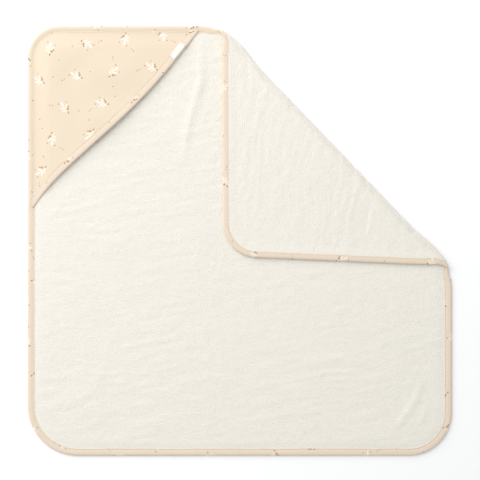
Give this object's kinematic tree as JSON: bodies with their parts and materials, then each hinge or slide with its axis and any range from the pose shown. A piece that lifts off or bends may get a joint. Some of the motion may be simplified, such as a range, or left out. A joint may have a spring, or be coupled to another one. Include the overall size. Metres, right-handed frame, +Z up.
{
  "type": "hooded baby towel",
  "caption": "Square terry baby towel with a printed cotton hood sewn across one corner, rounded corners and a bias-bound edge, lying flat with one corner folded over.",
  "frame": {"origin": "on the surface the towel lies on, under the middle of its box", "axes": "+Z up from the surface, +Y towards the hooded end, +X to the right seen from above with the hood at the upper left"},
  "size_m": [0.75, 0.76, 0.0204],
  "materials": {
    "terry": "cream cotton terry, looped pile",
    "printed_cotton": "pale peach plain-weave cotton with a small scattered leaf print",
    "bias_tape": "bias tape cut from the same printed cotton",
    "woven_label": "white satin-woven label, blank",
    "sewing_thread": "matt polyester sewing thread"
  },
  "bodies": {
    "towel": {"terry_body": "terry", "edge_binding": "bias_tape", "hood_seam_allowance": "printed_cotton", "binding_thread": "sewing_thread"},
    "hood": {"hood_lining": "terry", "hood_panel": "printed_cotton", "hood_edge_binding": "bias_tape", "hood_edge_thread": "sewing_thread", "hood_label": "woven_label", "label_stitch_upper": "sewing_thread", "label_stitch_lower": "sewing_thread"},
    "folded_corner": {"terry_corner": "terry", "edge_binding_corner": "bias_tape", "binding_thread_corner": "sewing_thread"}
  },
  "joints": [
    {"name": "corner_unfold", "type": "hinge", "parent": "towel", "child": "folded_corner", "pos_m": [0.169, 0.165, 0.0054], "axis": [-0.6918, 0.7221, 0], "range_deg": [0, 180]},
    {"name": "hood_lift", "type": "hinge", "parent": "towel", "child": "hood", "pos_m": [-0.34979, 0.35269, 0.0045], "axis": [-0.6826, -0.7308, 0], "range_deg": [0, 20]}
  ]
}
